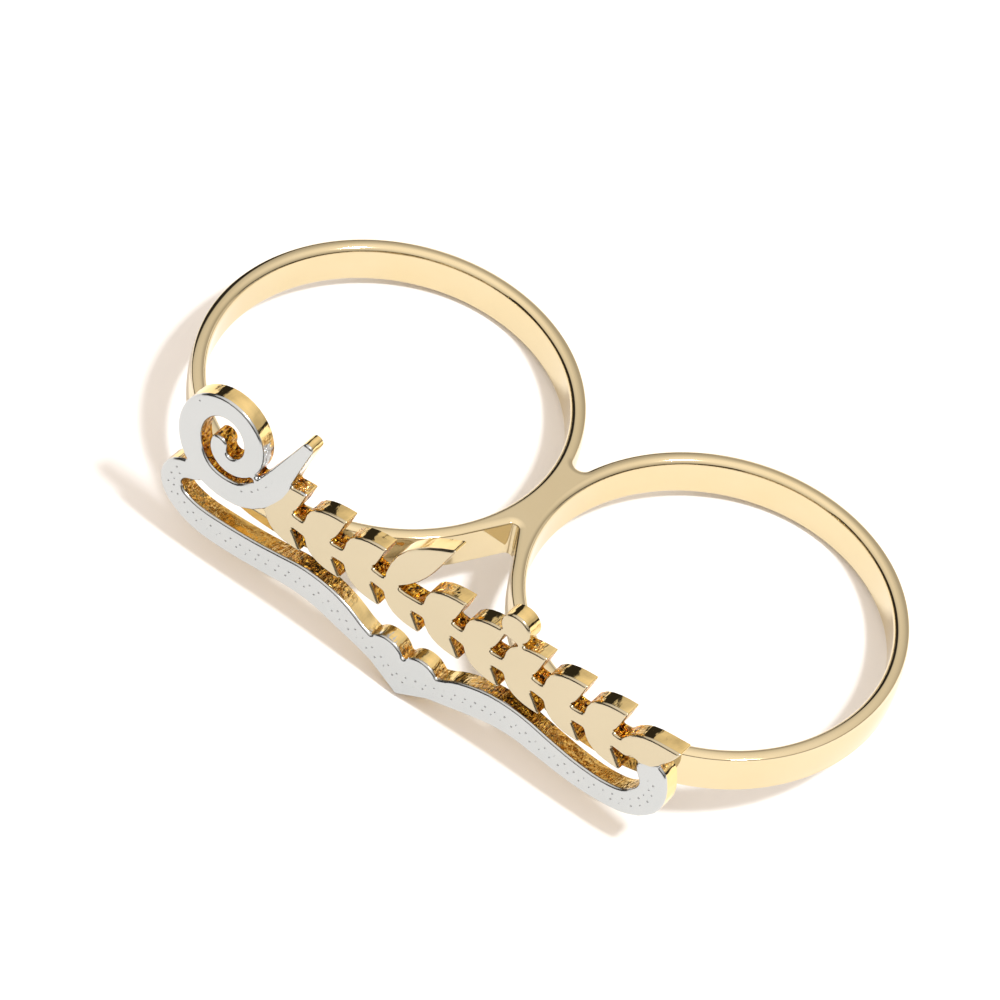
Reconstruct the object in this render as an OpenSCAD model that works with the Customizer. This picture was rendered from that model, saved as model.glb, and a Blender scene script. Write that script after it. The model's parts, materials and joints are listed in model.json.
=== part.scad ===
// Two finger ring with a pierced front plate, lying on its side

/* [Bands] */
// Inner diameter of each finger band
finger_d = 17.3; // [14:0.1:22]
// Width of the band along the finger
band_w = 2.3; // [1.6:0.1:4]
// Wall of the band at the middle of its width
band_t = 0.8; // [0.6:0.02:1.4]
// How far the outside bulges past the rims
band_dome = 0.09; // [0.05:0.01:0.2]
// Rounding of the edges beside the finger
inner_round = 0.12; // [0.06:0.01:0.2]
// Rounding of the outer edges
outer_round = 0.12; // [0.06:0.01:0.2]

/* [Web] */
// Space between the outsides of the two bands
band_space = 0.08; // [0.04:0.02:1]
// From the line of centres to the bottom of the front notch
notch_y = 2.6; // [2:0.1:4]
// Radius in the bottom of the front notch
notch_r = 0.3; // [0.2:0.05:0.5]
// Radius of the fillet at the back
back_r = 0.5; // [0.3:0.05:1.5]

/* [Plate] */
// Thickness of the front plate
plate_t = 0.9; // [0.7:0.05:1.5]
// How deep the bands are flattened where the plate is soldered on
seat_depth = 0.12; // [0.08:0.02:0.3]
// How far the V point stands left of the middle of the bands
plate_shift = 0.25; // [0:0.05:1]
// Rounding of the outward corners in the outlines
tip_r = 0.06; // [0.03:0.01:0.1]
// Rounding of the inward corners in the outlines
crotch_r = 0.12; // [0.05:0.01:0.2]

/* [Border] */
// Length over the two hooked ends
border_len = 29.5; // [27:0.1:36]
// From the bands' middle plane down to the V point
border_drop = 4.9; // [4.2:0.1:6.5]
// Width of the ribbon where it is broadest
border_w = 1.9; // [1.4:0.1:2.2]
// Radius of the two lobes beside the middle
lobe_r = 1.02; // [0.8:0.02:1.2]
// Top of the lobes, below the bands' middle plane
lobe_top = 1.8; // [1.5:0.05:2.2]
// Radius of the V point
point_r = 0.16; // [0.1:0.02:0.25]
// Slope of the sides of the V point, in degrees
point_slope = 31; // [26:1:36]

/* [Branch] */
// Length from the first leaf to the tip of the last one
branch_len = 23.7; // [22:0.1:27]
// Length of the last leaf
end_leaf_len = 2.7; // [2.2:0.1:3.5]
// Number of pairs of leaves
leaf_pairs = 9; // [7:1:11]
// Height of the leaf tips
leaf_h = 3.55; // [3.2:0.05:4.2]
// Width of a leaf
leaf_w = 1.65; // [1.3:0.05:1.9]
// Height of the middle of the stem
stem_z = 1.4; // [1.2:0.05:1.8]
// Width of the stem
stem_w = 0.85; // [0.7:0.05:1.1]
// Height of the tall leaf
tall_leaf_h = 6.3; // [4.5:0.1:8]
// Width of the tall leaf
tall_leaf_w = 1.6; // [1.3:0.05:2]
// Diameter of the berry
berry_d = 1.65; // [1.2:0.05:2]

/* [Frond] */
// Height of the frond's curl
frond_h = 6.25; // [5.5:0.05:7.5]
// Width of the frond's ribbon
frond_w = 1.4; // [1.1:0.05:1.6]
// Radius at which the curl starts
curl_r = 2.35; // [2.1:0.05:2.6]
// Radius at which the curl ends
curl_end_r = 0.5; // [0.4:0.05:0.8]
// How far the curl turns, in degrees
curl_turn = 430; // [360:10:460]

/* [Hidden] */
$fn = 96;
gold = "#E3C274";

// Points on an arc about centre c from angle a0 to a1
function arc(c, r, a0, a1, n) =
    [for (i = [0 : n]) let (a = a0 + (a1 - a0) * i / n) [c[0] + r * cos(a), c[1] + r * sin(a)]];

// A curve through rows of numbers, smooth in every column, with n steps between two rows
function blend(a, b, c, d, t) =
    (2 * b + t * (c - a) + t * t * (2 * a - 5 * b + 4 * c - d) + t * t * t * (3 * b - a - 3 * c + d)) / 2;
function smooth(rows, n) = let (last = len(rows) - 1) concat(
    [for (i = [0 : last - 1], j = [0 : n - 1])
        blend(rows[max(i - 1, 0)], rows[i], rows[i + 1], rows[min(i + 2, last)], j / n)],
    [rows[last]]);

// Rows [x, height, width] along a spiral that winds in from r0 to r1, slowly at first
function spiral(c, r0, r1, a0, turn, w0, w1, stretch, n) = [for (i = [0 : n])
    let (t = i / n, a = a0 + turn * t, r = r0 + (r1 - r0) * pow(t, 1.5))
    [c[0] + r * cos(a), c[1] + stretch * r * sin(a), w0 + (w1 - w0) * t]];

function reversed(list) = [for (i = [len(list) - 1 : -1 : 0]) list[i]];
function flat_unit(v) = [v[0], v[1]] / norm([v[0], v[1]]);
// One edge of a ribbon whose rows are [x, height, width]: side 1 is its left and -1 its right
function ribbon_edge(rows, side) = [for (i = [0 : len(rows) - 1])
    let (d = flat_unit(rows[min(i + 1, len(rows) - 1)] - rows[max(i - 1, 0)]), w = side * rows[i][2] / 2)
    [rows[i][0] - w * d[1], rows[i][1] + w * d[0]]];

module ribbon(rows) {
    polygon(concat(ribbon_edge(rows, 1), reversed(ribbon_edge(rows, -1))));
    for (end = [rows[0], rows[len(rows) - 1]])
        translate([end[0], end[1]]) circle(d = end[2], $fn = 16);
}

// The outside of a band is an arc between its rounded edges
finger_r = finger_d / 2;
band_r = finger_r + band_t;
half_w = band_w / 2;
dome_r = (half_w * half_w + band_dome * band_dome) / (2 * band_dome);
dome_x = band_r - dome_r;
edge_z = half_w - outer_round;
edge_angle = asin(edge_z / (dome_r - outer_round));
edge_x = dome_x + (dome_r - outer_round) * cos(edge_angle);
rim_r = edge_x + outer_round;
centre_x = band_r + band_space / 2;

module band() {
    rotate_extrude($fn = 180) polygon(concat(
        arc([finger_r + inner_round, -half_w + inner_round], inner_round, 180, 270, 5),
        arc([edge_x, -edge_z], outer_round, 270, 360 - edge_angle, 5),
        arc([dome_x, 0], dome_r, -edge_angle, edge_angle, 8),
        arc([edge_x, edge_z], outer_round, edge_angle, 90, 5),
        arc([finger_r + inner_round, half_w - inner_round], inner_round, 90, 180, 5)));
}

// The web fills between the bands. Its notch runs out along lines that touch both bands.
web_r = (finger_r + rim_r) / 2;
notch_c = notch_y + notch_r;
notch_angle = atan2(notch_c, centre_x) + acos(min(1, (notch_r + rim_r) / norm([centre_x, notch_c])));
notch_mouth = [centre_x - rim_r * cos(notch_angle), -rim_r * sin(notch_angle)];
fillet_y = sqrt(pow(rim_r + back_r, 2) - centre_x * centre_x);
web_back = rim_r * fillet_y / (rim_r + back_r);

module web() {
    linear_extrude(band_w, center = true) difference() {
        translate([-centre_x, notch_mouth[1]]) square([2 * centre_x, web_back - notch_mouth[1]]);
        for (x = [-centre_x, centre_x]) translate([x, 0]) circle(web_r);
        translate([0, fillet_y]) circle(back_r);
        polygon(concat([notch_mouth], arc([0, -notch_c], notch_r, notch_angle, 180 - notch_angle, 12),
            [[-notch_mouth[0], notch_mouth[1]]]));
    }
}

// The plate stands on a flat at the front of each band
seat_y = band_r - seat_depth;
plate_front = seat_y + plate_t;

module double_shank() {
    difference() {
        union() {
            for (x = [-centre_x, centre_x]) translate([x, 0, 0]) band();
            web();
        }
        translate([-2 * centre_x, -2 * band_r, -band_w]) cube([4 * centre_x, 2 * band_r - seat_y, 2 * band_w]);
    }
}

// Rows along the border: share of half its length, share of its drop, share of its width
BORDER = [
    [-0.878, 0.071, 0.58], [-0.932, -0.02, 0.605], [-0.955, -0.194, 0.63], [-0.922, -0.378, 0.71],
    [-0.837, -0.49, 0.84], [-0.729, -0.50, 0.885], [-0.60, -0.465, 0.885], [-0.49, -0.416, 0.915],
    [-0.41, -0.392, 0.98], [-0.322, -0.42, 1.00], [-0.247, -0.494, 0.95], [-0.156, -0.602, 0.76],
    [0, -0.72, 0.79],
    [0.15, -0.602, 0.79], [0.234, -0.485, 0.96], [0.336, -0.387, 1.00], [0.44, -0.367, 0.95],
    [0.546, -0.414, 0.87], [0.661, -0.459, 0.815], [0.776, -0.453, 0.765], [0.871, -0.378, 0.765],
    [0.932, -0.204, 0.79], [0.949, 0, 0.79], [0.932, 0.184, 0.90]];

module ribbon_border() {
    translate([-plate_shift, 0]) {
        ribbon([for (r = smooth(BORDER, 3)) [r[0] * border_len / 2, r[1] * border_drop, r[2] * border_w]]);
        for (side = [-1, 1]) translate([side * lobe_r, -lobe_top - lobe_r]) circle(lobe_r, $fn = 40);
        translate([0, point_r - border_drop]) hull() {
            circle(point_r, $fn = 24);
            for (side = [-1, 1])
                translate(0.8 * border_w * [side / tan(point_slope), 1]) circle(point_r, $fn = 24);
        }
    }
}

// The frond is an arm that comes down into a curl
plate_left = -border_len / 2 - plate_shift;
foot_z = -0.1;
curl_inset = 0.25;
curl_end_w = 0.65 * frond_w;
curl_top = pow(180 / curl_turn, 1.5) * (curl_r - curl_end_r);
curl_top_w = frond_w - 180 / curl_turn * (frond_w - curl_end_w);
curl_stretch = (frond_h - (frond_w + curl_top_w) / 2) / (2 * curl_r - curl_top);
curl_c = [plate_left + curl_inset + curl_r + frond_w / 2, foot_z + frond_w / 2 + curl_stretch * curl_r];

// Rows down the arm: shares of the frond's height across from the curl's centre and up, share of the ribbon
ARM = [[0.664, 1.04, 0.44], [0.565, 0.77, 0.66], [0.47, 0.51, 0.88], [0.36, 0.29, 1], [0.2, 0.145, 1]];

module frond() {
    ribbon(smooth(concat(
        [for (r = ARM) [curl_c[0] + r[0] * frond_h, foot_z + r[1] * frond_h, r[2] * frond_w]],
        spiral(curl_c, curl_r, curl_end_r, -90, -curl_turn, frond_w, curl_end_w, curl_stretch, 16)), 3));
}

// The branch starts in the frond's arm: pairs of leaves along a stem, and one leaf at its end
branch_x = curl_c[0] + 0.416 * frond_h;
pitch = (branch_len - end_leaf_len) / leaf_pairs;
stem_wave = 0.1;
leaf_lean = 0.85 * pitch;
foot_lean = 0.95 * pitch;
tall_lean = 1.35 * pitch;
foot_w = 0.75 * leaf_w;
leaf_bend = 0.035;
end_drop = 0.3;
end_back = 0.2;
berry_lift = 0.36 * berry_d;
tall_k = floor(0.4 * leaf_pairs);
berry_k = floor(0.6 * leaf_pairs);
function leaf_base(k) = [branch_x + k * pitch, stem_z + stem_wave * sin(180 * k)];
function leaf_tip(k) = k == tall_k ? leaf_base(k) + [tall_lean, tall_leaf_h - stem_z]
    : leaf_base(k) + [leaf_lean, leaf_h - stem_z];
end_tip = [branch_x + branch_len, leaf_h - end_drop];
function leaf_foot(k) = [leaf_base(k)[0] + foot_lean, foot_z];

module leaf(from, to, width, bend) {
    way = to - from;
    side = [-way[1], way[0]];
    ribbon([for (i = [0 : 8]) let (t = i / 8, p = from + t * way + side * bend * 4 * t * (1 - t))
        [p[0], p[1], 2 * tip_r + (width - 2 * tip_r) * sin(180 * pow(t, 0.85))]]);
}

module branch() {
    ribbon([for (i = [0 : 2 * leaf_pairs]) let (p = leaf_base(i / 2)) [p[0], p[1], stem_w]]);
    for (k = [0 : leaf_pairs - 1]) {
        leaf(leaf_base(k), leaf_tip(k), k == tall_k ? tall_leaf_w : leaf_w, leaf_bend);
        leaf(leaf_base(k), leaf_foot(k), foot_w, -leaf_bend);
    }
    leaf(leaf_base(leaf_pairs - end_back), end_tip, leaf_w, -leaf_bend);
    translate(leaf_tip(berry_k) + berry_lift * [0.8, 1]) circle(d = berry_d, $fn = 32);
}

// The front plate is sawn from one sheet, with small roundings in the corners of its outline
module front_plate() {
    translate([0, -seat_y, 0]) rotate([90, 0, 0]) linear_extrude(plate_t)
        offset(r = -crotch_r, $fn = 12) offset(r = tip_r + crotch_r, $fn = 16) offset(r = -tip_r, $fn = 12) {
            frond();
            branch();
            ribbon_border();
        }
}

// Lying on its side, the ring stands on the V point and on the backs of both bands
reach_y = seat_y + edge_x;
reach_z = border_drop - edge_z;
tilt = acos(outer_round / norm([reach_y, reach_z])) - atan2(reach_y, reach_z);
rest_z = border_drop * cos(tilt) - seat_y * sin(tilt);
front_y = -plate_front * cos(tilt) - border_drop * sin(tilt);
back_y = tilt > edge_angle ? edge_x * cos(tilt) + edge_z * sin(tilt) + outer_round : dome_x * cos(tilt) + dome_r;

module at_rest() {
    translate([0, -(front_y + back_y) / 2, rest_z]) rotate([-tilt, 0, 0]) children();
}

module two_finger_ring() {
    color(gold) at_rest() {
        double_shank();
        front_plate();
    }
}

two_finger_ring();
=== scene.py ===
import json
import math

import bmesh
import bpy
import numpy as np
from mathutils import Matrix, Vector
from mathutils.geometry import delaunay_2d_cdt


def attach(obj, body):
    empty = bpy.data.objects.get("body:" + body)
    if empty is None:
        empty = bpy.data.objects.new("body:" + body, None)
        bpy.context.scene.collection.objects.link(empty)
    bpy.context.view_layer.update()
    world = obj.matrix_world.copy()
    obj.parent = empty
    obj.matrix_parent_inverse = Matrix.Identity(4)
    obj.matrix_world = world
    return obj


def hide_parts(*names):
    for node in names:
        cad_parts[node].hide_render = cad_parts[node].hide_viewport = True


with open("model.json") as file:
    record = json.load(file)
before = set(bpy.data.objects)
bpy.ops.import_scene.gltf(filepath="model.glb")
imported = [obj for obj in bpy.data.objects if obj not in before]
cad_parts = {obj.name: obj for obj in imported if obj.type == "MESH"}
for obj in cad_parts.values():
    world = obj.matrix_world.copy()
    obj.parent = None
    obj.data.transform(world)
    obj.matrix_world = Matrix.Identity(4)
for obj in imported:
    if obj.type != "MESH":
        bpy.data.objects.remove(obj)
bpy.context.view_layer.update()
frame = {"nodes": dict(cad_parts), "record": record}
millimetre = 0.001


# Ring axes: x along the plate, y from the plate to the backs of the bands, z the way a finger goes through
bores = [m for m in frame["record"]["mounts"] if m["kind"] == "bore"]
ringZ = np.array(bores[0]["axis"], float)
ringZ /= np.linalg.norm(ringZ)
ringX = np.array([1.0, 0.0, 0.0])
ringY = np.cross(ringZ, ringX)
ringMiddle = sum(np.array(b["pos_m"], float) for b in bores) / len(bores)
fingerRadius = bores[0]["dims"]["r_mm"]
bandCentre = abs(bores[0]["pos_m"][0]) / millimetre


def toFloor(points):  # ring millimetres to the frame's metres
    points = np.asarray(points, float)
    return ringMiddle + millimetre * (points[:, :1] * ringX + points[:, 1:2] * ringY + points[:, 2:] * ringZ)


def toRing(points):  # the frame's metres to ring millimetres
    shifted = (np.asarray(points, float) - ringMiddle) / millimetre
    return np.stack([shifted @ ringX, shifted @ ringY, shifted @ ringZ], 1)


def turned(vectors):  # ring directions to floor directions
    vectors = np.asarray(vectors, float)
    return vectors[:, :1] * ringX + vectors[:, 1:2] * ringY + vectors[:, 2:] * ringZ


# Outlines are closed loops of points in a plane, with the metal on their left
def loopNormals(loop):  # outward normals, the mean of both neighbours' weighted by their lengths
    ahead = np.roll(loop, -1, 0) - loop
    both = ahead + np.roll(ahead, 1, 0)
    normal = np.stack([both[:, 1], -both[:, 0]], 1)
    return normal / np.linalg.norm(normal, axis=1, keepdims=True)


def subdivided(loop, normals, step):  # extra points on every side longer than step
    points, directions = [], []
    for a, b, na, nb in zip(loop, np.roll(loop, -1, 0), normals, np.roll(normals, -1, 0)):
        count = max(1, math.ceil(np.linalg.norm(b - a) / step))
        t = np.arange(count)[:, None] / count
        points.append(a + t * (b - a))
        directions.append(na + t * (nb - na))
    directions = np.concatenate(directions)
    return np.concatenate(points), directions / np.linalg.norm(directions, axis=1, keepdims=True)


def eased(normals):  # the mean of neighbours, again and again, where the outline has no corner
    corner = 0.94
    for _ in range(8):
        before, after = np.roll(normals, 1, 0), np.roll(normals, -1, 0)
        curve = ((normals * before).sum(1) > corner) & ((normals * after).sum(1) > corner)
        mean = before + normals + after
        normals = np.where(curve[:, None], mean / np.linalg.norm(mean, axis=1, keepdims=True), normals)
    return normals


def nearestOutline(points, loops, normals):  # distance to the outlines, and the outward normal there
    starts = np.concatenate(loops)
    ends = np.concatenate([np.roll(l, -1, 0) for l in loops])
    startNormals = np.concatenate(normals)
    endNormals = np.concatenate([np.roll(n, -1, 0) for n in normals])
    way = ends - starts
    square = np.maximum((way ** 2).sum(1), 1e-12)
    distance, normal = np.empty(len(points)), np.empty((len(points), 2))
    for first in range(0, len(points), 1000):
        part = points[first:first + 1000]
        off = part[:, None] - starts[None]
        t = np.clip((off * way[None]).sum(2) / square[None], 0, 1)
        gap = np.linalg.norm(off - t[..., None] * way[None], axis=2)
        best = gap.argmin(1)
        rows = np.arange(len(part))
        share = t[rows, best][:, None]
        distance[first:first + 1000] = gap[rows, best]
        normal[first:first + 1000] = startNormals[best] * (1 - share) + endNormals[best] * share
    return distance, normal / np.linalg.norm(normal, axis=1, keepdims=True)


def insideLoops(points, loops):  # even-odd rule
    inside = np.zeros(len(points), bool)
    for loop in loops:
        x1, y1 = loop[:, 0], loop[:, 1]
        x2, y2 = np.roll(x1, -1), np.roll(y1, -1)
        for first in range(0, len(points), 4000):
            x, y = points[first:first + 4000, :1], points[first:first + 4000, 1:]
            crosses = (y1 > y) != (y2 > y)
            with np.errstate(divide="ignore", invalid="ignore"):
                at = x1 + (y - y1) * (x2 - x1) / (y2 - y1)
            inside[first:first + 4000] ^= (crosses & (x < at)).sum(1) % 2 == 1
    return inside


def flatMesh(loops, extra, seams=()):  # triangles between the loops, through extra points and along seams
    points = [Vector(p) for loop in loops for p in loop]
    edges, start = [], 0
    for loop in loops:
        edges += [(start + i, start + (i + 1) % len(loop)) for i in range(len(loop))]
        start += len(loop)
    border = np.array(edges)
    for seam in seams:
        chain = [start + i for i in range(len(seam))]
        points += [Vector(p) for p in seam]
        edges += list(zip(chain, chain[1:]))
        start += len(seam)
    points += [Vector(p) for p in extra]
    found = delaunay_2d_cdt(points, edges, [], 0, 1e-6)
    verts = np.array([tuple(p) for p in found[0]])
    faces = np.array([tuple(f) for f in found[2]], int)
    # a sliver along an outline is kept or dropped by the side on which it touches the outline
    place = np.zeros(len(points), int)
    for new, olds in enumerate(found[3]):
        place[olds] = new
    sides = faces * len(verts) + np.roll(faces, -1, 1)
    mirrored = faces + np.roll(faces, -1, 1) * len(verts)
    border = place[border[:, 0]] * len(verts) + place[border[:, 1]]
    metal, empty = np.isin(sides, border).any(1), np.isin(mirrored, border).any(1)
    return verts, faces[(insideLoops(verts[faces].mean(1), loops) | metal) & ~empty]


def gridFaces(rows, columns, start):  # quads of a grid whose columns close into a ring
    r, c = np.meshgrid(np.arange(rows - 1), np.arange(columns), indexing="ij")
    here = start + r * columns + c
    ahead = start + r * columns + (c + 1) % columns
    return np.stack([here, ahead, ahead + columns, here + columns], 2).reshape(-1, 4)


def makeMesh(name, parts):  # each part: points in ring millimetres, normals, faces, material slots
    mesh = bpy.data.meshes.new(name)
    points, normals, faces, slots = [], [], [], []
    marks = {"openness": [], "plating": []}
    start = 0
    for part in parts:
        points.append(part["points"])
        normals.append(part["normals"])
        for mark in marks:
            marks[mark].append(part.get(mark, np.ones(len(part["points"]))))
        faces += [tuple(int(i) + start for i in f) for f in part["faces"]]
        slots += list(part["slots"])
        start += len(part["points"])
    points, normals = toFloor(np.concatenate(points)), turned(np.concatenate(normals))
    mesh.from_pydata(points.tolist(), [], faces)
    mesh.polygons.foreach_set("material_index", np.array(slots, np.int32))
    mesh.polygons.foreach_set("use_smooth", np.ones(len(faces), bool))
    for mark, values in marks.items():
        attribute = mesh.attributes.new(mark, "FLOAT", "POINT")
        attribute.data.foreach_set("value", np.concatenate(values).astype(np.float32))
    mesh.update()
    mesh.normals_split_custom_set_from_vertices(normals.tolist())
    piece = bpy.data.objects.new(name, mesh)
    bpy.context.scene.collection.objects.link(piece)
    print(name, len(points), "points", len(faces), "faces")
    return piece


# The double shank: two bands and the web between them
shank = {
    "width": 2.3, "wall": 0.8, "dome": 0.09, "edge": 0.12, "seat": 0.12,
    "outerRim": (0.3, 0.1), "innerRim": (0.15, 0.34), "crownLean": 24,  # width of crown, radius of edge
    "notchDepth": 2.6, "notchRadius": 0.3, "backRadius": 0.5,
    "bandStep": 0.25, "notchStep": 0.05, "backStep": 0.06, "straightStep": 0.3,  # between points
    "boreSides": 160,
}


def arcPoints(centre, radius, fromAngle, toAngle, step):  # points on an arc, both ends left to the next one
    count = max(3, math.ceil(abs(math.radians(toAngle - fromAngle)) * radius / step))
    angles = np.radians(np.linspace(fromAngle, toAngle, count + 1)[:-1])
    return np.stack([centre[0] + radius * np.cos(angles), centre[1] + radius * np.sin(angles)], 1)


def shankOutline():  # arcs about both bores, a notch in front, a fillet behind, and the dome's share
    outer = fingerRadius + shank["wall"]
    half = shank["width"] / 2
    domeRadius = (half ** 2 + shank["dome"] ** 2) / (2 * shank["dome"])
    slope = math.asin((half - shank["edge"]) / (domeRadius - shank["edge"]))
    rim = outer - domeRadius + (domeRadius - shank["edge"]) * math.cos(slope) + shank["edge"]
    notchCentre = shank["notchDepth"] + shank["notchRadius"]
    reach = (shank["notchRadius"] + rim) / math.hypot(bandCentre, notchCentre)
    notch = math.degrees(math.atan2(notchCentre, bandCentre) + math.acos(reach))
    filletY = math.sqrt((rim + shank["backRadius"]) ** 2 - bandCentre ** 2)
    fillet = math.degrees(math.atan2(filletY, bandCentre))
    pieces = [
        (arcPoints((-bandCentre, 0), rim, fillet, 360 - notch, shank["bandStep"]), 1),
        (arcPoints((0, -notchCentre), shank["notchRadius"], 180 - notch, notch, shank["notchStep"]), 0),
        (arcPoints((bandCentre, 0), rim, 180 + notch, 540 - fillet, shank["bandStep"]), 1),
        (arcPoints((0, filletY), shank["backRadius"], -fillet, fillet - 180, shank["backStep"]), 0),
    ]
    # the straight sides of the notch get points too
    loop = np.concatenate([p for p, bulge in pieces])
    bulge = np.concatenate([np.full(len(p), float(b)) for p, b in pieces])
    points, bulges = [], []
    for a, b, ba, bb in zip(loop, np.roll(loop, -1, 0), bulge, np.roll(bulge, -1)):
        count = max(1, math.ceil(np.linalg.norm(b - a) / shank["straightStep"]))
        t = np.arange(count) / count
        points.append(a + t[:, None] * (b - a))
        bulges.append(ba * (1 - t) + bb * t if ba == bb else np.where(t < 1, min(ba, bb), 0.0))
    loop, bulge = np.concatenate(points), np.concatenate(bulges)
    for _ in range(8):  # the dome fades out beside the web
        bulge = np.minimum(bulge, (np.roll(bulge, 1) + bulge + np.roll(bulge, -1)) / 3)
    return loop, bulge, outer - rim


def rimRows(width, radius):  # inset, drop and lean of the normal: a shallow crown, then the rounded edge
    lean = math.radians(shank["crownLean"])
    rows = []
    for a in np.linspace(0, lean, 6):
        rows.append((radius * (1 - math.sin(lean)) + width * (1 - a / lean),
                     width * (a / lean) ** 2 * math.tan(lean) / 2, a))
    crownDrop = rows[-1][1]
    for a in np.linspace(lean, math.pi / 2, 7)[1:]:
        rows.append((radius * (1 - math.sin(a)), crownDrop + radius * (math.cos(lean) - math.cos(a)), a))
    return rows


def shankPiece():  # the outline carried along a profile of rim, domed side and rim; two bores; flats between
    loop, bulge, height = shankOutline()
    normal = loopNormals(loop)
    half, rim, bore = shank["width"] / 2, rimRows(*shank["outerRim"]), rimRows(*shank["innerRim"])
    profile = [(-inset, half - drop, math.sin(a), math.cos(a), 0) for inset, drop, a in rim]
    flatZ = half - rim[-1][1]
    for z in np.linspace(flatZ, -flatZ, 9)[1:-1]:
        profile.append((0, z, 1, 0, 1 - (z / flatZ) ** 2))
    profile += [(o, -z, n, -s, b) for o, z, n, s, b in profile[len(rim) - 1::-1]]
    points, normals = [], []
    for offset, z, out, up, share in profile:
        flat = loop + normal * (offset + bulge * height * share)[:, None]
        lean = bulge * 2 * height * z / flatZ ** 2 if share else np.zeros(len(loop))
        vertical = up + lean * out
        row = np.column_stack([normal * out, vertical])
        points.append(np.column_stack([flat, np.full(len(loop), z)]))
        normals.append(row / np.linalg.norm(row, axis=1, keepdims=True))
    seatY = fingerRadius + shank["wall"] - shank["seat"]
    outside = {"points": np.concatenate(points), "normals": np.concatenate(normals),
               "faces": gridFaces(len(profile), len(loop), 0)[:, ::-1]}
    low = outside["points"][:, 1] < -seatY
    outside["points"][low, 1] = -seatY
    outside["normals"][low] = (0, -1, 0)
    parts = [outside]
    count = shank["boreSides"]
    angle = np.linspace(0, 2 * math.pi, count, endpoint=False)
    circle = np.stack([np.cos(angle), np.sin(angle)], 1)
    holes = []
    for side in (-1, 1):
        centre = np.array([side * bandCentre, 0])
        points, normals = [], []
        rows = [(inset, half - drop, -math.sin(a), math.cos(a)) for inset, drop, a in bore]
        rows += [(o, -z, n, -u) for o, z, n, u in rows[::-1]]
        for offset, z, out, up in rows:
            points.append(np.column_stack([centre + circle * (fingerRadius + offset), np.full(count, z)]))
            normals.append(np.column_stack([circle * out, np.full(count, up)]))
        parts.append({"points": np.concatenate(points), "normals": np.concatenate(normals),
                      "faces": gridFaces(len(rows), count, 0)})
        holes.append(centre + circle[::-1] * (fingerRadius + bore[0][0]))
    inset = outside["points"][:len(loop), :2]
    verts, faces = flatMesh([inset] + holes, [])
    for side in (1, -1):
        parts.append({"points": np.column_stack([verts, np.full(len(verts), side * half)]),
                      "normals": np.tile([0, 0, side], (len(verts), 1)), "faces": faces[:, ::side]})
    for part in parts:
        part["slots"] = np.zeros(len(part["faces"]), int)
    return makeMesh("doubleShank", parts)


# The front plate, whose outline is the CAD part's
plate = {"edge": 0.15, "edgeAngles": (22.5, 45, 67.5, 90), "step": 0.11, "sink": 0.02, "weld": 0.004}


def plateLoops():  # the outline of the CAD part's frontmost face
    copy = bmesh.new()
    copy.from_mesh(frame["nodes"]["two_finger_ring"].data)
    bmesh.ops.remove_doubles(copy, verts=copy.verts, dist=plate["weld"] * millimetre)
    copy.verts.index_update()
    points = toRing([v.co for v in copy.verts])
    front = points[:, 1].min()
    onFront = points[:, 1] < front + plate["edge"] / 5
    copy.faces.index_update()
    cap = [f for f in copy.faces if all(onFront[v.index] for v in f.verts)]
    inCap = {f.index for f in cap}
    after = {}
    for face in cap:
        for corner in face.loops:
            if not all(f.index in inCap for f in corner.edge.link_faces):
                after[corner.vert.index] = corner.link_loop_next.vert.index
    loops = []
    while after:
        loop = [next(iter(after))]
        here = after.pop(loop[0])
        while here != loop[0]:
            loop.append(here)
            here = after.pop(here)
        loops.append(points[loop][:, [0, 2]])
    copy.free()
    print("plate outline:", [len(l) for l in loops])
    return loops, front


# The line where the white plating ends, from the crotch above to the crotch below
toneLines = [
    [(-7.97, 3.55), (-8.05, 3.1), (-8.25, 2.5), (-8.55, 1.95), (-8.9, 1.4), (-9.2, 1.0)],
    [(12.65, 1.15), (13.0, 1.3), (13.4, 1.45), (13.8, 1.75)],
]


# Engraved dots: two rows along the middle of the border and two short rows on the frond
dots = {
    "radius": 0.07, "depth": 0.07, "shallowest": 0.25, "pitch": 0.58, "apart": 0.33, "stagger": 0.2,
    "scatter": 0.05,
    "border": [(-13.9, 0.1), (-14.34, -0.95), (-13.85, -1.85), (-12.6, -2.4), (-11.0, -2.45), (-9.1, -2.28),
               (-7.48, -2.04), (-6.3, -1.92), (-5.0, -2.06), (-3.89, -2.42), (-2.55, -2.95), (-0.25, -3.75),
               (1.96, -2.95), (3.2, -2.38), (4.7, -1.9), (6.24, -1.8), (7.8, -2.03), (9.5, -2.25),
               (11.2, -2.22), (12.6, -1.85), (13.5, -1.0), (13.75, 0.0), (13.5, 0.7)],
    "frond": [[(-9.0, 3.0), (-9.35, 2.3), (-9.9, 1.6), (-10.6, 1.1)],
              [(-13.9, 4.6), (-13.2, 5.5), (-12.2, 6.0)]],
}


def alongLine(line, pitch, first):  # points every pitch along a line of straight parts, and the normals there
    line = np.array(line)
    length = np.concatenate([[0], np.cumsum(np.linalg.norm(np.diff(line, axis=0), axis=1))])
    at = np.arange(first, length[-1], pitch)
    points = np.column_stack([np.interp(at, length, line[:, i]) for i in (0, 1)])
    ahead = np.column_stack([np.interp(at + pitch / 2, length, line[:, i]) for i in (0, 1)])
    behind = np.column_stack([np.interp(at - pitch / 2, length, line[:, i]) for i in (0, 1)])
    way = (ahead - behind) / np.linalg.norm(ahead - behind, axis=1, keepdims=True)
    return points, np.column_stack([-way[:, 1], way[:, 0]])


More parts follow.
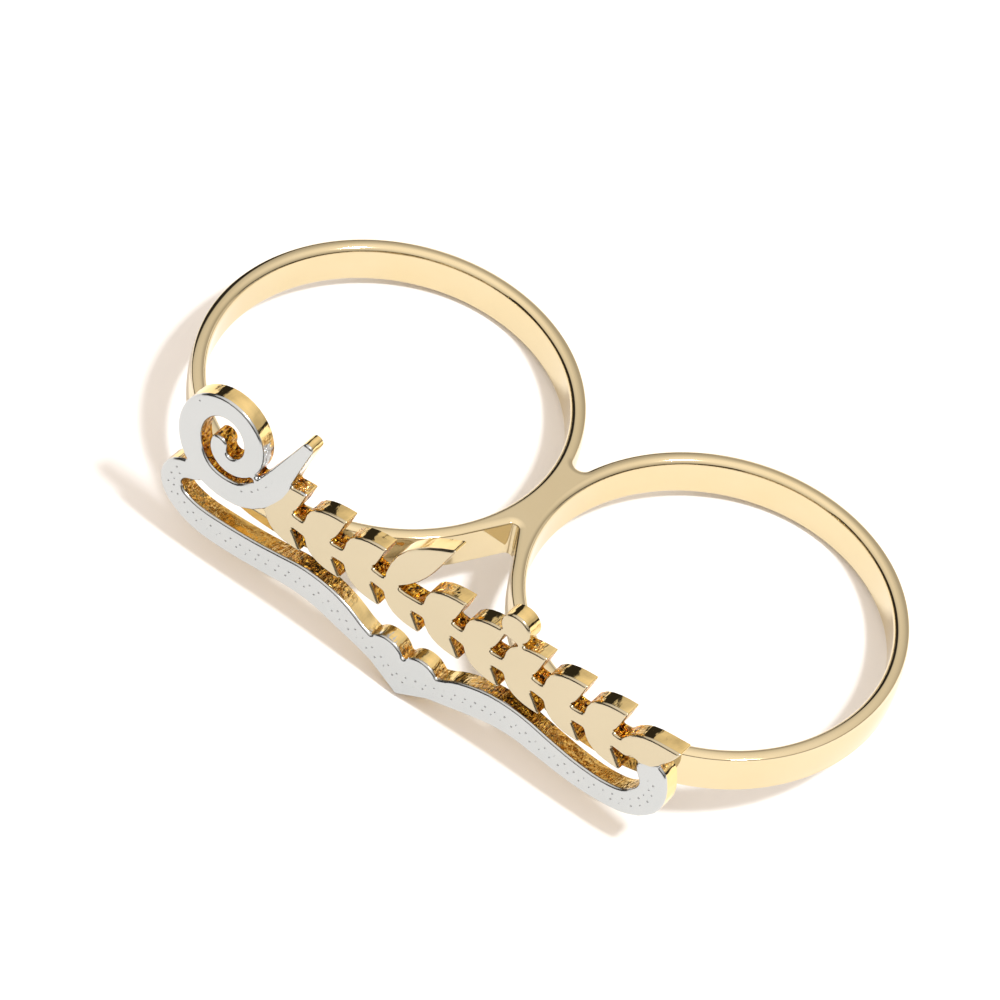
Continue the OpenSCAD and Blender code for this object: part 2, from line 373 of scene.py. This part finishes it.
def dotCentres(loops, normals):  # the dots that lie on the flat of the plate
    rows = []
    for side in (-1, 1):
        first = (dots["pitch"] + side * dots["stagger"]) / 2
        points, across = alongLine(dots["border"], dots["pitch"], first)
        rows.append(points + side * dots["apart"] / 2 * across)
    rows += [alongLine(line, dots["pitch"], 0.0)[0] for line in dots["frond"]]
    centres = np.concatenate(rows)
    centres += np.random.default_rng(4).uniform(-dots["scatter"], dots["scatter"], centres.shape)
    distance, _ = nearestOutline(centres, loops, normals)
    return centres[insideLoops(centres, loops) & (distance > plate["edge"] + 1.5 * dots["radius"])]


def dotPoints(centres):  # points for the floor, the slope and the rim of every dot
    around = [np.zeros((1, 2))]
    for share, count in ((0.5, 6), (0.8, 9), (1.0, 12)):
        angle = np.linspace(0, 2 * math.pi, count, endpoint=False)
        around.append(share * dots["radius"] * np.stack([np.cos(angle), np.sin(angle)], 1))
    return (centres[:, None] + np.concatenate(around)[None]).reshape(-1, 2)


def snapped(line, loops):  # both ends of a line go to the nearest corner of the outline
    corners = np.concatenate(loops)
    line = np.array(line, float)
    for end in (0, -1):
        line[end] = corners[np.linalg.norm(corners - line[end], axis=1).argmin()]
    return line


def platePiece():  # a front that falls off in a quarter circle along its edge, straight walls and a flat back
    loops, front = plateLoops()
    rawNormals = [loopNormals(l) for l in loops]
    fine = [subdivided(l, n, plate["step"]) for l, n in zip(loops, rawNormals)]
    loops, normals = [f[0] for f in fine], [eased(f[1]) for f in fine]
    edge = plate["edge"]
    extra = []
    for angle in plate["edgeAngles"]:
        gap = edge * (1 - math.cos(math.radians(angle)))
        ring = np.concatenate([l - n * gap for l, n in zip(loops, normals)])
        distance, _ = nearestOutline(ring, loops, normals)
        extra.append(ring[(distance > 0.97 * gap) & insideLoops(ring, loops)])
    seams = [snapped(line, loops) for line in toneLines]
    centres = dotCentres(loops, normals)
    extra.append(dotPoints(centres))
    verts, faces = flatMesh(loops, np.concatenate(extra), seams)
    distance, outward = nearestOutline(verts, loops, normals)
    lean = np.where(distance < plate["weld"] / 4, 1, np.clip(1 - distance / edge, 0, 1))
    rise = np.sqrt(np.maximum(0, 1 - lean ** 2))
    depth = edge * (1 - rise)
    points = np.column_stack([verts[:, 0], front + depth, verts[:, 1]])
    capNormals = np.column_stack([outward[:, 0] * lean, -rise, outward[:, 1] * lean])
    # a dot's depth falls with the square of the distance from its middle
    away = verts[:, None] - centres[None]
    nearest = np.linalg.norm(away, axis=2).argmin(1)
    away = away[np.arange(len(verts)), nearest]
    share = np.linalg.norm(away, axis=1) / dots["radius"]
    inDot = share < 0.99
    depths = dots["depth"] * np.random.default_rng(5).uniform(dots["shallowest"], 1, len(centres))
    depths = depths[nearest[inDot]]
    points[inDot, 1] += depths * (1 - share[inDot] ** 2)
    slope = (-2 * depths / dots["radius"] ** 2)[:, None] * away[inDot]
    pit = np.column_stack([slope[:, 0], -np.ones(inDot.sum()), slope[:, 1]])
    capNormals[inDot] = pit / np.linalg.norm(pit, axis=1, keepdims=True)
    print("dots:", len(centres))
    middles = verts[faces].mean(1)
    parts = [{"points": points, "normals": capNormals, "faces": faces,
              "slots": np.where(isWhite(middles, seams), 1, 0)}]
    back = -(fingerRadius + shank["wall"] - shank["seat"]) + plate["sink"]
    for loop, normal in zip(loops, normals):
        rows = [front + edge, (front + edge + back) / 2, back]
        wall = [np.column_stack([loop[:, 0], np.full(len(loop), y), loop[:, 1]]) for y in rows]
        outward = np.column_stack([normal[:, 0], np.zeros(len(loop)), normal[:, 1]])
        parts.append({"points": np.concatenate(wall), "normals": np.tile(outward, (len(rows), 1)),
                      "faces": gridFaces(len(rows), len(loop), 0)[:, ::-1],
                      "openness": np.tile(openness(loop, normal, loops), len(rows)),
                      "plating": np.outer(wallShares, plating(loop)).ravel()})
        parts[-1]["slots"] = np.full(len(parts[-1]["faces"]), 2)
    backVerts, backFaces = flatMesh(loops, [])
    backPoints = np.column_stack([backVerts[:, 0], np.full(len(backVerts), back), backVerts[:, 1]])
    parts.append({"points": backPoints,
                  "normals": np.tile([0, 1, 0], (len(backVerts), 1)), "faces": backFaces[:, ::-1],
                  "slots": np.zeros(len(backFaces), int)})
    return makeMesh("frontPlate", parts)


# Where the white plating ran over the edge onto the walls: middle, radius and strength of each place
overrun = [((-8.0, 5.2), 1.5, 1.0), ((-8.7, 3.3), 1.0, 0.8), ((-9.7, 3.6), 1.6, 1.0),
           ((-1.5, -2.2), 1.6, 0.45), ((1.6, -2.2), 1.6, 0.4)]
wallShares = (1.2, 0.75, 0.2)  # how much of it is left at the front, the middle and the back of the wall


def plating(loop):  # share of white on the walls, from 1 in the middle of a place to 0 at its rim
    share = np.zeros(len(loop))
    for middle, radius, strength in overrun:
        near = np.clip(1.5 - 1.5 * np.linalg.norm(loop - np.array(middle), axis=1) / radius, 0, 1)
        share = np.maximum(share, strength * near)
    return share


# Rays that look out from a wall: how many, over which angle to either side, how far, and where they start
lookout = {"rays": 9, "angle": 60, "reach": 2.5, "gap": 0.02}


# the wall material paints shade where this is low, and roughens the skin there
def openness(loop, normal, loops):  # mean way of rays before they meet metal, as a share of their reach
    starts = np.concatenate(loops)
    ends = np.concatenate([np.roll(l, -1, 0) for l in loops])
    way = ends - starts
    total = np.zeros(len(loop))
    for angle in np.radians(np.linspace(-lookout["angle"], lookout["angle"], lookout["rays"])):
        c, s = math.cos(angle), math.sin(angle)
        ray = np.stack([normal[:, 0] * c - normal[:, 1] * s, normal[:, 0] * s + normal[:, 1] * c], 1)
        origin = loop + normal * lookout["gap"]
        free = np.ones(len(loop))
        for first in range(0, len(loop), 500):
            o, r = origin[first:first + 500, None], ray[first:first + 500, None]
            cross = r[..., 0] * way[None, :, 1] - r[..., 1] * way[None, :, 0]
            cross = np.where(abs(cross) < 1e-9, 1e-9, cross)
            gap = starts[None] - o
            t = (gap[..., 0] * way[None, :, 1] - gap[..., 1] * way[None, :, 0]) / cross
            u = (gap[..., 0] * r[..., 1] - gap[..., 1] * r[..., 0]) / cross
            hit = (t > 0) & (u >= 0) & (u <= 1)
            reach = lookout["reach"]
            free[first:first + 500] = np.clip(np.where(hit, t, reach).min(1) / reach, 0, 1)
        total += free / lookout["rays"]
    return total


# What else is white: the frond's arm up to its end, all below the ornament, and the right hook
whiteParts = {"armEnd": -6.9, "borderTop": -0.75, "hookLeft": 12.9, "hookTop": 1.0}


def isWhite(points, seams):  # left of the first line, on the arm, below the second line or the ornament
    x, z = points[:, 0], points[:, 1]
    first = seams[0][np.argsort(seams[0][:, 1])]
    left = (x < np.interp(z, first[:, 1], first[:, 0])) | ((x < whiteParts["armEnd"]) & (z > first[-1, 1]))
    second = seams[1][np.argsort(seams[1][:, 0])]
    below = (x > second[0, 0]) & (z < np.interp(x, second[:, 0], second[:, 1]))
    hook = (x > whiteParts["hookLeft"]) & (z < whiteParts["hookTop"])
    return left | (z < whiteParts["borderTop"]) | below | hook


def linear(hexColour):  # sRGB hex to linear
    values = [int(hexColour[i:i + 2], 16) / 255 for i in (1, 3, 5)]
    return tuple([v / 12.92 if v <= 0.04045 else ((v + 0.055) / 1.055) ** 2.4 for v in values] + [1.0])


def addNode(tree, kind, settings, inputs):  # a node with its settings, and its inputs as values or links
    node = tree.nodes.new(kind)
    for name, value in settings.items():
        setattr(node, name, value)
    for name, value in inputs.items():
        if isinstance(value, bpy.types.NodeSocket):
            tree.links.new(value, node.inputs[name])
        else:
            node.inputs[name].default_value = value
    return node


def newMaterial(name):  # a metal with the default IOR, its node tree and its shader
    material = bpy.data.materials.new(name)
    material.use_nodes = True
    tree = material.node_tree
    shader = tree.nodes["Principled BSDF"]
    shader.inputs["Metallic"].default_value = 1.0
    return material, tree, shader


colours = {
    "polished": "#D9CBAA", "worn": "#D3C29A", "lapped": "#C8BDA2", "lappedDull": "#C1B599",
    # of the wall colours, the last three are painted shade for enclosed walls: a deeper, darker gold and
    # near-black spots in pits
    "wall": "#F0D89E", "wornWall": "#E8C882", "recessShade": "#FFC646", "deep": "#BC7418", "pitShade": "#2E1A06",
    "white": "#C0C3C4", "dullWhite": "#B9BEBF",
}


def perMetre(size):  # how often a pattern of this size in millimetres comes in a metre
    return 1 / (size * millimetre)


def blotched(tree, place, size, one, other):  # a colour that wanders between two
    blotch = addNode(tree, "ShaderNodeTexNoise", {}, {
        "Vector": place, "Scale": perMetre(size), "Detail": 3.0})
    tint = addNode(tree, "ShaderNodeMix", {"data_type": "RGBA"}, {"Factor": blotch.outputs["Fac"]})
    tint.inputs["A"].default_value = linear(colours[one])
    tint.inputs["B"].default_value = linear(colours[other])
    return tint.outputs["Result"]


def platedFace(name, size, one, other, roughness):  # two close tints and faint swells from polishing
    material, tree, shader = newMaterial(name)
    place = addNode(tree, "ShaderNodeTexCoord", {}, {}).outputs["Object"]
    tree.links.new(blotched(tree, place, size, one, other), shader.inputs["Base Color"])
    ripple = addNode(tree, "ShaderNodeTexNoise", {}, {
        "Vector": place, "Scale": perMetre(size / 3), "Detail": 2.0})
    bump = addNode(tree, "ShaderNodeBump", {}, {
        "Distance": 0.02 * millimetre, "Height": ripple.outputs["Fac"], "Strength": 0.05})
    tree.links.new(bump.outputs["Normal"], shader.inputs["Normal"])
    shader.inputs["Roughness"].default_value = roughness
    return material


# Sizes in millimetres of what shows on the cast walls, and how deep the skin's grain and the hand polish go
skinSizes = {"streak": 0.125, "stretch": 0.15, "pit": 0.2, "lump": 1 / 3, "swell": 10 / 9, "tint": 2.5,
             "grainDepth": 0.2, "swellDepth": 0.2}


# Walls of the plate. Open ones were polished by hand and mirror clearly, with slow swells. In the recesses
# the skin of the casting is left under the plating: streaks through the thickness and lumps. There the colour
# is painted shade: a deeper, darker gold, with near-black spots painted as the shade in pits.
def castWallsPaintedShade():
    material, tree, shader = newMaterial("castGoldWallsPaintedShade")
    place = addNode(tree, "ShaderNodeTexCoord", {}, {}).outputs["Object"]
    openShare = addNode(tree, "ShaderNodeAttribute", {"attribute_name": "openness"}, {}).outputs["Fac"]
    white = addNode(tree, "ShaderNodeAttribute", {"attribute_name": "plating"}, {}).outputs["Fac"]
    grain = addNode(tree, "ShaderNodeMapping", {}, {"Vector": place})
    grain.inputs["Scale"].default_value = (1, skinSizes["stretch"], 1)
    noise = addNode(tree, "ShaderNodeTexNoise", {}, {
        "Vector": grain.outputs["Vector"], "Scale": perMetre(skinSizes["streak"]),
        "Detail": 2.0, "Roughness": 0.6})
    streaks = addNode(tree, "ShaderNodeMapRange", {}, {"Value": noise.outputs["Fac"], "From Min": 0.42,
                                                       "From Max": 0.58})
    # the more enclosed a wall, the more its colour turns to painted shade; this also roughens the skin
    closed = addNode(tree, "ShaderNodeMapRange", {}, {"Value": openShare, "From Min": 0.5, "From Max": 0.85,
                                                      "To Min": 1.0, "To Max": 0.0})
    # painted shade: lighter and darker streaks of a deep, saturated gold for enclosed walls
    skin = addNode(tree, "ShaderNodeMix", {"data_type": "RGBA"}, {"Factor": streaks.outputs["Result"]})
    skin.inputs["A"].default_value = linear(colours["deep"])
    skin.inputs["B"].default_value = linear(colours["recessShade"])
    spots = addNode(tree, "ShaderNodeTexNoise", {}, {"Vector": place, "Scale": perMetre(skinSizes["pit"]),
                                                     "Detail": 2.0})
    # painted shade of pits: near-black spots on enclosed walls
    pitShadeMask = addNode(tree, "ShaderNodeMapRange", {}, {"Value": spots.outputs["Fac"], "From Min": 0.55,
                                                          "From Max": 0.61})
    # the painted pit shade darkens the enclosed walls' colour
    cast = addNode(tree, "ShaderNodeMix", {"data_type": "RGBA"}, {"Factor": pitShadeMask.outputs["Result"]})
    tree.links.new(skin.outputs["Result"], cast.inputs["A"])
    cast.inputs["B"].default_value = linear(colours["pitShade"])
    shine = blotched(tree, place, skinSizes["tint"], "wall", "wornWall")
    # open walls keep their own gold; enclosed walls take the painted shade
    tint = addNode(tree, "ShaderNodeMix", {"data_type": "RGBA"}, {"Factor": closed.outputs["Result"]})
    tree.links.new(shine, tint.inputs["A"])
    tree.links.new(cast.outputs["Result"], tint.inputs["B"])
    # the plating's edge is ragged along the streaks
    ragged = addNode(tree, "ShaderNodeMath", {"operation": "ADD"}, {0: white, 1: noise.outputs["Fac"]})
    cover = addNode(tree, "ShaderNodeMapRange", {}, {"Value": ragged.outputs["Value"], "From Min": 0.95,
                                                     "From Max": 1.05})
    both = addNode(tree, "ShaderNodeMix", {"data_type": "RGBA"}, {"Factor": cover.outputs["Result"]})
    tree.links.new(tint.outputs["Result"], both.inputs["A"])
    both.inputs["B"].default_value = linear(colours["white"])
    tree.links.new(both.outputs["Result"], shader.inputs["Base Color"])
    rough = addNode(tree, "ShaderNodeMapRange", {}, {
        "Value": closed.outputs["Result"], "To Min": 0.06, "To Max": 0.2})
    tree.links.new(rough.outputs["Result"], shader.inputs["Roughness"])
    strength = addNode(tree, "ShaderNodeMapRange", {}, {"Value": closed.outputs["Result"], "To Min": 0.02,
                                                        "To Max": 0.9})
    swell = addNode(tree, "ShaderNodeTexNoise", {}, {"Vector": place, "Scale": perMetre(skinSizes["swell"]),
                                                     "Detail": 1.0})
    hand = addNode(tree, "ShaderNodeBump", {}, {"Distance": skinSizes["swellDepth"] * millimetre,
                                                "Height": swell.outputs["Fac"], "Strength": 0.5})
    lumps = addNode(tree, "ShaderNodeTexNoise", {}, {"Vector": place, "Scale": perMetre(skinSizes["lump"]),
                                                     "Detail": 1.0})
    grainy = addNode(tree, "ShaderNodeMath", {"operation": "MULTIPLY_ADD"}, {
        0: lumps.outputs["Fac"], 1: 4.0, 2: streaks.outputs["Result"]})
    bump = addNode(tree, "ShaderNodeBump", {}, {"Distance": skinSizes["grainDepth"] * millimetre,
                                                "Height": grainy.outputs["Value"],
                                                "Strength": strength.outputs["Result"],
                                                "Normal": hand.outputs["Normal"]})
    tree.links.new(bump.outputs["Normal"], shader.inputs["Normal"])
    return material


# Gold plating over polished silver: a warm, clear mirror
polishedGold = platedFace("polishedGoldPlating", 10 / 3, "polished", "worn", 0.07)
# The same plating over a face that was lapped flat: it blurs what it mirrors, so it looks paler and even
lappedGold = platedFace("lappedGoldPlating", 4.0, "lapped", "lappedDull", 0.2)
# White rhodium over the same lapped face: a cool light grey
rhodium = platedFace("rhodiumPlating", 2.5, "white", "dullWhite", 0.2)
bands = shankPiece()
bands.data.materials.append(polishedGold)
front = platePiece()
for material in (lappedGold, rhodium, castWallsPaintedShade()):
    front.data.materials.append(material)
for piece in (bands, front):
    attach(piece, "root")
    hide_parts("two_finger_ring")
print("plating on", [piece.name for piece in (bands, front)])


# The camera, placed in ring millimetres as it was worked out from the photograph
photoCamera = {"azimuth": 26.789, "elevation": 47.939, "roll": 13.531, "distance": 467.553,
               "lens": 360.0, "sensor": 36, "pixels": 1000, "offset": (45.572, 9.604)}


def makeCamera():  # it looks back along azimuth and elevation, is rolled, and is shifted in its own plane
    a, e, r = (math.radians(photoCamera[k]) for k in ("azimuth", "elevation", "roll"))
    back = np.array([math.sin(a) * math.cos(e), -math.cos(a) * math.cos(e), math.sin(e)])
    right = np.array([math.cos(a), math.sin(a), 0])
    up = np.cross(back, right)
    right, up = math.cos(r) * right + math.sin(r) * up, -math.sin(r) * right + math.cos(r) * up
    perPixel = photoCamera["distance"] * photoCamera["sensor"] / (photoCamera["lens"] * photoCamera["pixels"])
    place = back * photoCamera["distance"] - right * photoCamera["offset"][0] * perPixel
    place = place + up * photoCamera["offset"][1] * perPixel
    data = bpy.data.cameras.new("photoCamera")
    data.lens = photoCamera["lens"]
    data.sensor_width = photoCamera["sensor"]
    data.clip_start, data.clip_end = 0.01, 5
    camera = bpy.data.objects.new("photoCamera", data)
    bpy.context.scene.collection.objects.link(camera)
    axes = turned(np.stack([right, up, back]))
    camera.matrix_world = Matrix.Translation(toFloor(place[None])[0]) @ Matrix(axes.T.tolist()).to_4x4()
    bpy.context.scene.camera = camera
    return axes


viewAxes = makeCamera()


# The photo studio: a tent, a small key light and a sheet of paper, with places and sizes in metres
studio = {
    "skyColour": "#FFF7EF", "lowSky": 0.62, "highSky": 1.42, "rise": (0.35, 0.95),
    "dark": 0.03, "darkTop": 0.06,
    # where the dark reaches higher or lower: full from the first value of X or Y, none from the second,
    # by the third
    "raised": {"X": [(-0.5, -0.35, 0.42), (0.55, 0.3, 0.16)], "Y": [(-0.8, -0.4, 0.3), (0.8, 0.65, -0.36)]},
    "paperColour": "#F7F3F0", "paperHalf": 0.6,
    "keyPlace": (0.25, 0.045, 0.5), "keySize": 0.06, "keyPower": 2.5, "keyColour": (0.9, 0.95, 1.0),
}


def makeFloor():  # one square of matt white paper, which shows shadows softly and has next to no shine
    mesh = bpy.data.meshes.new("floor")
    size = studio["paperHalf"]
    corners = [(-size, -size, 0), (size, -size, 0), (size, size, 0), (-size, size, 0)]
    mesh.from_pydata(corners, [], [(0, 1, 2, 3)])
    floor = bpy.data.objects.new("floor", mesh)
    bpy.context.scene.collection.objects.link(floor)
    material = bpy.data.materials.new("whitePaper")
    material.use_nodes = True
    shader = material.node_tree.nodes["Principled BSDF"]
    shader.inputs["Base Color"].default_value = linear(studio["paperColour"])
    shader.inputs["Roughness"].default_value = 0.9
    shader.inputs["Specular IOR Level"].default_value = 0.1
    mesh.materials.append(material)


def addLight(name, place, size, power, colour):  # a square area light that looks at the ring
    data = bpy.data.lights.new(name, "AREA")
    data.size, data.energy, data.color = size, power, colour
    light = bpy.data.objects.new(name, data)
    light.location = place
    light.rotation_euler = (-Vector(place)).to_track_quat("-Z", "Y").to_euler()
    bpy.context.scene.collection.objects.link(light)


def makeStudio():  # a bright tent over the floor, brighter above; its lowest part is open to a dark room
    makeFloor()
    world = bpy.data.worlds.new("studioTent")
    world.use_nodes = True
    tree = world.node_tree
    direction = addNode(tree, "ShaderNodeTexCoord", {}, {}).outputs["Generated"]
    parts = addNode(tree, "ShaderNodeSeparateXYZ", {}, {"Vector": direction})
    top = studio["darkTop"]
    for axis, sides in studio["raised"].items():
        for full, none, more in sides:
            share = addNode(tree, "ShaderNodeMapRange", {"interpolation_type": "SMOOTHSTEP"}, {
                "Value": parts.outputs[axis], "From Min": full, "From Max": none,
                "To Min": more, "To Max": 0.0})
            both = addNode(tree, "ShaderNodeMath", {"operation": "ADD"}, {0: share.outputs["Result"], 1: top})
            top = both.outputs["Value"]
    above = addNode(tree, "ShaderNodeMath", {"operation": "SUBTRACT"}, {0: parts.outputs["Z"], 1: top})
    tent = addNode(tree, "ShaderNodeMapRange", {}, {
        "Value": parts.outputs["Z"], "From Min": studio["rise"][0], "From Max": studio["rise"][1],
        "To Min": studio["lowSky"], "To Max": studio["highSky"]})
    level = addNode(tree, "ShaderNodeMapRange", {"interpolation_type": "SMOOTHSTEP"}, {
        "Value": above.outputs["Value"], "From Min": -0.03, "From Max": 0.03, "To Min": studio["dark"],
        "To Max": tent.outputs["Result"]})
    background = tree.nodes["Background"]
    background.inputs["Color"].default_value = linear(studio["skyColour"])
    tree.links.new(level.outputs["Result"], background.inputs["Strength"])
    bpy.context.scene.world = world
    addLight("keyLight", studio["keyPlace"], studio["keySize"], studio["keyPower"], studio["keyColour"])
    bpy.context.scene.view_settings.view_transform = "Standard"


makeStudio()
print("studio: tent, key light and paper")
